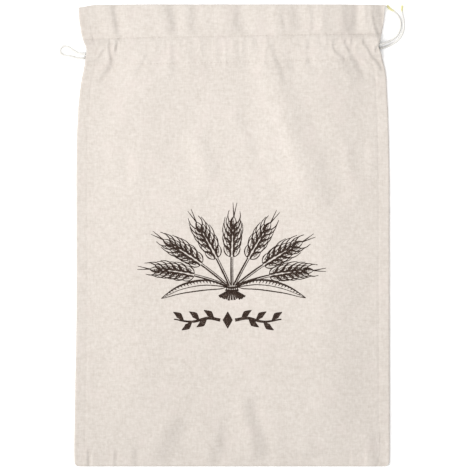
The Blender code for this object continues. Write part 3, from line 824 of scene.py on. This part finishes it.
def stitch_row(name, line, is_front, seed):
    """A row of lockstitches along one line of a panel."""
    draw = random.Random(seed)
    vertices, faces = [], []
    start = float(side_x(line(-HALF_WIDTH), 1)) + STITCH_INSET
    end = float(side_x(line(HALF_WIDTH), 2)) - STITCH_INSET
    places = np.arange(start, end - STITCH_LENGTH, STITCH_PITCH)
    share = np.linspace(0, 1, STITCH_RINGS + 1)
    lengths = np.array([STITCH_LENGTH * draw.uniform(0.92, 1.05) for _ in places])
    skews = np.array([draw.uniform(-STITCH_SKEW, STITCH_SKEW) for _ in places])
    x = places[:, None] + share * lengths[:, None]
    y = line(x) + skews[:, None] * (share - 0.5) * lengths[:, None]
    arch = np.sin(math.pi * share).clip(0, 1)
    if is_front:
        z = cloth_top(x, y) + FRONT_STITCH[0] - FRONT_STITCH[1] * (1 - arch**0.6)
    else:
        z = back_bottom(x, y, edge_distance(x, y)) + BACK_STITCH[0] + BACK_STITCH[1] * (1 - arch**0.6)
    sizes = STITCH_RADIUS * (0.55 + 0.45 * arch**0.5)
    for stitch in range(len(places)):
        first = len(vertices)
        for ring in range(STITCH_RINGS + 1):
            for side in range(STITCH_SIDES):
                angle = 2 * math.pi * side / STITCH_SIDES
                across, up = sizes[ring] * math.cos(angle), sizes[ring] * math.sin(angle)
                vertices.append((x[stitch, ring], y[stitch, ring] + across, z[stitch, ring] + up))
        faces += tube_faces(first, STITCH_RINGS + 1, STITCH_SIDES)
        for ring in (0, STITCH_RINGS):
            faces.append([first + ring * STITCH_SIDES + side for side in range(STITCH_SIDES)])
    return add_mesh(name, vertices, faces, 60)


stitches = (
    stitch_row("front_upper_stitches", upper_stitch, True, 11),
    stitch_row("front_lower_stitches", lower_stitch, True, 12),
    stitch_row("back_upper_stitches", upper_stitch, False, 13),
    stitch_row("back_lower_stitches", lower_stitch, False, 14),
)

# The print
INK_PROUD = 0.05
INK_SUNK = 0.22
INK_STEP = 1.1
INK_ROUGH = 0.07
INK_WEIGHT = 1.5


def flat_curve(points, step):
    return curve_through([(x, y, 0) for x, y in points], step)[0][:, :2]


class Ink:
    """Strokes of ink that lie on the upper panel, each a thin ribbon."""

    def __init__(self, seed):
        self.draw = random.Random(seed)
        self.ribbons = []

    def stroke(self, points, start, middle, end, step=INK_STEP):
        """A curved stroke through the points, with its width at the start, the middle and the end."""
        path = flat_curve(points, step)
        share = np.linspace(0, 1, len(path))
        width = INK_WEIGHT * np.interp(share, (0, 0.5, 1), (start, middle, end))
        tangent = np.gradient(path, axis=0)
        tangent /= np.maximum(1e-9, np.linalg.norm(tangent, axis=1))[:, None]
        normal = np.stack((-tangent[:, 1], tangent[:, 0]), axis=1)
        rough = np.array([[self.draw.uniform(-INK_ROUGH, INK_ROUGH) for _ in range(2)] for _ in path])
        left = path + normal * (0.5 * width + rough[:, 0])[:, None]
        right = path - normal * (0.5 * width + rough[:, 1])[:, None]
        self.ribbons.append((left, right))

    def mesh(self, name):
        faces = []
        flat = np.vstack([side for ribbon in self.ribbons for side in ribbon])
        top = cloth_top(flat[:, 0], flat[:, 1])
        total = len(flat)
        vertices = (np.column_stack((flat, top + INK_PROUD)), np.column_stack((flat, top - INK_SUNK)))
        count = 0
        for left, right in self.ribbons:
            left_top = np.arange(count, count + len(left))
            right_top = left_top + len(left)
            left_low, right_low = left_top + total, right_top + total
            count += 2 * len(left)
            around = (left_top, right_top, right_low, left_low, left_top)
            faces += strips(around)
            for place in (0, -1):
                faces.append([line[place] for line in around[:4]])
        return add_mesh(name, np.vstack(vertices), faces, 40)


def moved(start, along, across, angle):
    """The point that lies along and across a direction from a start."""
    cosine, sine = math.cos(angle), math.sin(angle)
    return start[0] + (along * cosine - across * sine), start[1] + (along * sine + across * cosine)


def grain(ink, root, angle, length, width, shade):
    """A pointed grain: an outline that is much heavier on one side, a crease and a little hatching."""
    def place(along, across):
        return moved(root, along * length, across * width, angle)

    for side, weight, inward in ((shade, 1.75, 0.40), (-shade, 0.8, 0.46)):
        outline = [
            place(share, side * inward * math.sin(math.pi * share) ** 0.75)
            for share in (0, 0.2, 0.45, 0.7, 0.9, 1)
        ]
        ink.stroke(outline, 0.55 * weight, weight, 0.4 * weight)
    ink.stroke([place(0.30, -0.06 * shade), place(0.55, -0.04 * shade), place(0.80, 0)], 0.3, 0.5, 0.2)
    for share in (0.34, 0.52):
        start = place(share, 0.34 * shade)
        end = place(share + 0.12, shade * ink.draw.uniform(-0.02, 0.08))
        ink.stroke([start, end], 0.8, 0.6, 0.2, 0.8)


def wheat_ear(ink, base, tip, bow, ear_share, size):
    """A stem from base to tip with grains up both sides of its far end, and their awns."""
    base, tip = np.array(base), np.array(tip)
    run = tip - base
    middle = 0.5 * (base + tip) + bow * np.array((-run[1], run[0]))

    def spine(t):
        point = (1 - t) ** 2 * base + 2 * t * (1 - t) * middle + t**2 * tip
        way = 2 * (1 - t) * (middle - base) + 2 * t * (tip - middle)
        return point, math.atan2(way[1], way[0])

    length = float(np.linalg.norm(run))
    for offset, weight in ((-0.95, 0.55), (0.75, 1.05)):
        line = []
        for t in np.linspace(0, ear_share, 6):
            point, angle = spine(t)
            line.append(moved(point, 0, offset, angle))
        ink.stroke(line, weight, weight, 0.8 * weight)
    count = max(4, int(round(length * (0.84 - ear_share) / (6 * size))))
    for index in range(count):
        share = index / (count - 1)
        point, angle = spine(ear_share + (0.76 - ear_share) * share)
        scale = size * (0.86 + 0.24 * math.sin(math.pi * min(1, share + 0.15)) - 0.10 * share)
        for side in (1, -1):
            spread = side * (0.46 - 0.12 * share) + ink.draw.uniform(-0.04, 0.04)
            root = moved(point, 0, side * 1.7 * scale, angle)
            grain(ink, root, angle + spread, 11.4 * scale, 5.6 * scale, -side)
            start = moved(root, 11.2 * scale, 0, angle + spread)
            reach = ink.draw.uniform(10, 14.5) * size * (1 - 0.2 * share)
            lean = angle + 0.5 * spread
            half = moved(start, 0.5 * reach, side * 0.6, lean)
            end = moved(start, reach, side * 0.2, lean - 0.12 * side)
            ink.stroke([start, half, end], 0.75, 0.6, 0.35)
    point, angle = spine(0.78)
    grain(ink, point, angle, 11 * size, 5.2 * size, 1)
    start = moved(point, 10.8 * size, 0, angle)
    for lean in (-0.15, 0.12):
        ink.stroke([start, moved(start, 12.5 * size, 0, angle + lean)], 0.75, 0.55, 0.3)


def leaf(ink, route, width, shade):
    """A long pointed leaf along a route, hatched on one side of its rib."""
    rib = flat_curve(route, 1.5)
    way = np.gradient(rib, axis=0)
    way /= np.linalg.norm(way, axis=1)[:, None]
    normal = np.stack((-way[:, 1], way[:, 0]), axis=1)
    share = np.linspace(0, 1, len(rib))
    half = 0.5 * width * np.sin(math.pi * share**0.8) ** 0.8
    for side in (1, -1):
        weight = 1.5 if side == shade else 0.8
        edge = list(map(tuple, (rib + side * normal * half[:, None])[::3])) + [tuple(rib[-1])]
        ink.stroke(edge, 0.6, weight, 0.4)
    ink.stroke(list(map(tuple, rib[::3])), 0.7, 0.55, 0.3)
    for place in range(3, len(rib) - 4, 2):
        start = rib[place] + shade * normal[place] * half[place]
        end = rib[place - 1] + shade * normal[place] * half[place] * ink.draw.uniform(0.2, 0.5)
        ink.stroke([tuple(start), tuple(end)], 0.8, 0.6, 0.25, 0.8)


# A sheaf of ears fans out from its band: angle from upright in degrees, reach, bow, size.
SHEAF_FOOT = (0, -50)
STEM_SHARE = 0.40
SHEAF = (
    (-76, 75, -0.10, 1.15),
    (-51, 78, -0.06, 1.22),
    (-25, 73, -0.04, 1.26),
    (1.5, 71, 0.03, 1.28),
    (27, 74, 0.04, 1.24),
    (53, 78, 0.06, 1.24),
    (77, 74, 0.10, 1.15),
)


def sheaf_print():
    ink = Ink(5)
    foot_x, foot_y = SHEAF_FOOT
    for angle, reach, bow, size in SHEAF:
        turn = math.radians(90 - angle)
        base = (foot_x + 4.5 * math.sin(math.radians(angle)), foot_y + 2.5)
        tip = (foot_x + reach * 1.17 * math.cos(turn), foot_y + reach * math.sin(turn))
        wheat_ear(ink, base, tip, bow, STEM_SHARE, 0.86 * size)
    # the band, and the cut stems below it
    for offset in (-1.5, 1.5):
        band = [(foot_x + x, foot_y + offset + y) for x, y in ((-6.4, 0), (0, -0.8), (6.4, 0))]
        ink.stroke(band, 0.9, 1.6, 1.1)
    for offset in np.arange(-5, 5.1, 2):
        thread = [(foot_x + offset, foot_y + 1.7), (foot_x + offset * 1.02 + 0.3, foot_y - 2.4)]
        ink.stroke(thread, 0.8, 0.7, 0.4, 0.8)
    for angle in np.arange(-64, 65, 10.5):
        lean = math.radians(angle)
        start = (foot_x + 4.8 * math.sin(lean), foot_y - 2.6)
        reach = ink.draw.uniform(7, 9.2)
        end = (start[0] + reach * 1.25 * math.sin(lean), start[1] - reach * math.cos(0.75 * lean))
        ink.stroke([start, end], 0.9, 1, 1.4)
    leaf(ink, ((-5, -48.5), (-26, -47), (-48, -51), (-67, -59.5)), 9.6, -1)
    leaf(ink, ((5, -48.5), (26, -46.5), (49, -50.5), (70, -59)), 9.6, 1)
    return ink.mesh("print_sheaf")


ORNAMENT_CENTRE = (-4, -80)
# Half of the sprig, outwards from the lozenge: its stalk, and its leaves as x, y, and 1 up or -1 down.
STALK = ((7, 0), (19, 1.8), (34, -1.6), (51, 0.8))
LEAVES = ((13, 1.2, 1), (20, 1.5, -1), (27, -0.2, 1), (34, -1.4, -1), (42, -0.6, 1))


def ornament_print():
    """A small sprig below the sheaf: a stalk with leaves to each side of a lozenge."""
    ink = Ink(6)
    centre_x, centre_y = ORNAMENT_CENTRE
    for side in (1, -1):
        stalk = [(centre_x + side * x, centre_y + y) for x, y in STALK]
        ink.stroke(stalk, 2.1, 1.7, 0.8)
        for x, y, way in LEAVES:
            root = (centre_x + side * x, centre_y + y)
            middle = (root[0] + side * 4.4, root[1] + way * 4.9)
            end = (root[0] + side * 9.6, root[1] + way * 8.2)
            ink.stroke([root, middle, end], 0.8, 4, 0.4)
    lozenge = [(centre_x, centre_y + y) for y in (-8, 0, 8)]
    ink.stroke(lozenge, 0.3, 6.4, 0.3, 0.5)
    return ink.mesh("print_ornament")


sheaf = sheaf_print()
ornament = ornament_print()


# The materials
class Graph:
    """A short way to write a material's nodes."""

    def __init__(self, name):
        self.material = bpy.data.materials.new(name)
        self.material.use_nodes = True
        self.nodes = self.material.node_tree.nodes
        self.links = self.material.node_tree.links
        self.shader = self.nodes["Principled BSDF"]
        self.place = self.nodes.new("ShaderNodeTexCoord").outputs["Object"]

    def put(self, value, socket):
        if isinstance(value, bpy.types.NodeSocket):
            self.links.new(value, socket)
        else:
            socket.default_value = value

    def math(self, kind, first, second=0, third=0):
        node = self.nodes.new("ShaderNodeMath")
        node.operation = kind
        for socket, value in zip(node.inputs, (first, second, third)):
            self.put(value, socket)
        return node.outputs[0]

    def node(self, kind, output, inputs):
        """Adds a node with its inputs, and gives one of its outputs."""
        node = self.nodes.new(kind)
        for name, value in inputs.items():
            self.put(value, node.inputs[name])
        return node.outputs[output]

    def noise(self, scale, detail=2, roughness=0.5):
        """Noise with a number of waves a metre, one for all axes or one for each."""
        each = scale if isinstance(scale, tuple) else (scale, scale, scale)
        place = self.node("ShaderNodeMapping", "Vector", {"Vector": self.place, "Scale": each})
        inputs = {"Vector": place, "Scale": 1, "Detail": detail, "Roughness": roughness}
        return self.node("ShaderNodeTexNoise", "Fac", inputs)

    def axis(self, number):
        return self.node("ShaderNodeSeparateXYZ", number, {"Vector": self.place})

    def spread(self, value, low, high):
        """0 at low, 1 at high."""
        return self.node("ShaderNodeMapRange", "Result", {"Value": value, "From Min": low, "From Max": high})

    def mix(self, factor, first, second):
        """A mix of two colours, which are the sockets 6 and 7 of the node, and 2 of its outputs."""
        node = self.nodes.new("ShaderNodeMix")
        node.data_type = "RGBA"
        self.put(factor, node.inputs[0])
        for socket, value in ((node.inputs[6], first), (node.inputs[7], second)):
            self.put(value if isinstance(value, bpy.types.NodeSocket) else (*value, 1), socket)
        return node.outputs[2]

    def bump(self, height, strength, distance):
        inputs = {"Height": height, "Strength": strength, "Distance": distance}
        self.put(self.node("ShaderNodeBump", "Normal", inputs), self.shader.inputs["Normal"])

    def surface(self, colour, roughness, sheen=0, specular=0.25):
        inputs = {
            "Base Color": colour,
            "Roughness": roughness,
            "Specular IOR Level": specular,
            "Sheen Weight": sheen,
            "Sheen Roughness": 0.6,
        }
        for name, value in inputs.items():
            self.put(value, self.shader.inputs[name])
        return self.material

    def vary(self, value, amount, tone):
        """A tone that a value moves to both sides."""
        return self.math("MULTIPLY_ADD", self.math("SUBTRACT", value, 0.5), amount, tone)

    def patches(self, value, low, high, share, colour, other):
        """A colour with a share of another one where the value passes from low to high."""
        return self.mix(self.math("MULTIPLY", self.spread(value, low, high), share), colour, other)


THREAD_PITCH = 0.00075


def weave(graph):
    """The over and under of a plain weave, with its yarns a little uneven."""
    wander = graph.math("MULTIPLY", graph.noise(420, 1), 1.6)
    waves = []
    for number in (0, 1):
        turn = graph.math("MULTIPLY_ADD", graph.axis(number), math.pi / THREAD_PITCH, wander)
        waves.append(graph.math("SINE", turn))
    return graph.math("MULTIPLY", waves[0], waves[1])


def yarns(graph):
    """Thick and thin places in the yarns of both directions."""
    across = graph.noise((150, 1050, 300), 2, 0.6)
    along = graph.noise((1050, 150, 300), 2, 0.6)
    return graph.math("MULTIPLY", graph.math("ADD", across, along), 0.5)


def linen_material():
    graph = Graph("linen_cloth")
    over = weave(graph)
    slubs = yarns(graph)
    tint = graph.noise(55, 2)
    flecks = graph.noise((420, 1500, 500), 1)
    tone = graph.vary(slubs, 1.4, 0.5)
    tone = graph.vary(graph.noise(330, 2, 0.55), 0.9, tone)
    tone = graph.vary(graph.noise(14, 2), 0.25, tone)
    tone = graph.math("MULTIPLY_ADD", over, 0.07, tone)
    colour = graph.mix(tone, (0.378, 0.339, 0.303), (0.515, 0.477, 0.440))
    colour = graph.patches(tint, 0.52, 0.72, 0.30, colour, (0.484, 0.425, 0.397))
    colour = graph.patches(flecks, 0.70, 0.78, 0.30, colour, (0.30, 0.235, 0.17))
    height = graph.math("MULTIPLY_ADD", over, 0.35, graph.math("MULTIPLY", slubs, 1.6))
    graph.bump(height, 0.55, 0.00022)
    return graph.surface(colour, 0.93, 0.12)


def ink_material():
    graph = Graph("print_ink")
    over = weave(graph)
    slubs = yarns(graph)
    worn = graph.math("MULTIPLY_ADD", graph.noise(1300, 2), 0.8, graph.math("MULTIPLY", slubs, 0.5))
    worn = graph.math("MULTIPLY_ADD", over, 0.10, worn)
    colour = graph.mix(graph.noise(500, 2), (0.010, 0.0055, 0.004), (0.034, 0.020, 0.014))
    colour = graph.patches(worn, 0.76, 0.86, 0.6, colour, (0.30, 0.24, 0.20))
    graph.bump(graph.math("MULTIPLY_ADD", over, 0.3, slubs), 0.4, 0.0002)
    return graph.surface(colour, 0.85, specular=0.10)


def thread_material():
    graph = Graph("sewing_thread")
    twist = graph.noise((2600, 900, 900), 1)
    colour = graph.mix(twist, (0.40, 0.355, 0.315), (0.52, 0.475, 0.43))
    graph.bump(twist, 0.5, 0.0001)
    return graph.surface(colour, 0.8, 0.1)


# The cords' sealed ends, in metres
YELLOW_FROM_Y = 0.2125
YELLOW_TO_Y = 0.2145


def cord_material():
    graph = Graph("cotton")
    fibres = graph.noise(2400, 2)
    colour = graph.mix(fibres, (0.48, 0.468, 0.442), (0.625, 0.615, 0.588))
    colour = graph.patches(graph.noise(260, 2), 0.45, 0.75, 0.35, colour, (0.44, 0.41, 0.37))
    colour = graph.patches(graph.axis(1), YELLOW_FROM_Y, YELLOW_TO_Y, 0.8, colour, (0.50, 0.47, 0.17))
    graph.bump(fibres, 0.5, 0.00015)
    return graph.surface(colour, 0.85, 0.15)


linen = linen_material()
cotton = cord_material()
thread = thread_material()
printed = ink_material()

for item in (front_cloth, back_cloth):
    item.data.materials.append(linen)
    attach(item, "root")
for item in stitches:
    item.data.materials.append(thread)
    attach(item, "root")
for item in (sheaf, ornament):
    item.data.materials.append(printed)
    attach(item, "root")
for item in (loop, tail_front, tail_back):
    item.data.materials.append(cotton)
for node in ("cord_front_run", "cord_back_run"):
    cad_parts[node].data.materials.clear()
    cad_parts[node].data.materials.append(cotton)

# The floor and the light
FLOOR_SIZE = 8
FLOOR_LEVEL = -0.0003
KEY_STRENGTH = 2.32
KEY_ANGLE = 22
KEY_DIRECTION = (0.80, -0.02, -0.62)
TOP_LIGHT_POWER = 1.1
TOP_LIGHT_SIZE = 0.35
TOP_LIGHT_PLACE = (0, 0.08, 0.48)
SKY_STRENGTH = 0.98

floor_data = bpy.data.meshes.new("floor")
half = 0.5 * FLOOR_SIZE
corners = [(half * x, half * y, FLOOR_LEVEL) for x, y in ((-1, -1), (1, -1), (1, 1), (-1, 1))]
floor_data.from_pydata(corners, [], [(0, 1, 2, 3)])
floor = add_object("floor", floor_data)
floor_graph = Graph("pale_floor")
floor_tone = floor_graph.mix(floor_graph.noise(3, 2), (0.97, 0.97, 0.97), (0.98, 0.98, 0.98))
floor_data.materials.append(floor_graph.surface(floor_tone, 0.9))


def add_light(name, kind, energy, direction):
    data = bpy.data.lights.new(name, kind)
    data.energy = energy
    item = add_object(name, data)
    item.rotation_mode = "QUATERNION"
    item.rotation_quaternion = Vector(direction).to_track_quat("-Z", "Y")
    return item


key = add_light("key_light", "SUN", KEY_STRENGTH, KEY_DIRECTION)
key.data.angle = math.radians(KEY_ANGLE)
top = add_light("top_light", "AREA", TOP_LIGHT_POWER, (0, 0, -1))
top.data.shape = "DISK"
top.data.size = TOP_LIGHT_SIZE
top.location = TOP_LIGHT_PLACE
top.visible_camera = False
world = bpy.data.worlds.new("studio")
world.use_nodes = True
sky = world.node_tree.nodes["Background"]
sky.inputs["Color"].default_value = (1, 1, 1, 1)
sky.inputs["Strength"].default_value = SKY_STRENGTH
bpy.context.scene.world = world
view = bpy.context.scene.view_settings
view.view_transform = "Standard"
view.look = "None"
view.exposure = 0
view.gamma = 1
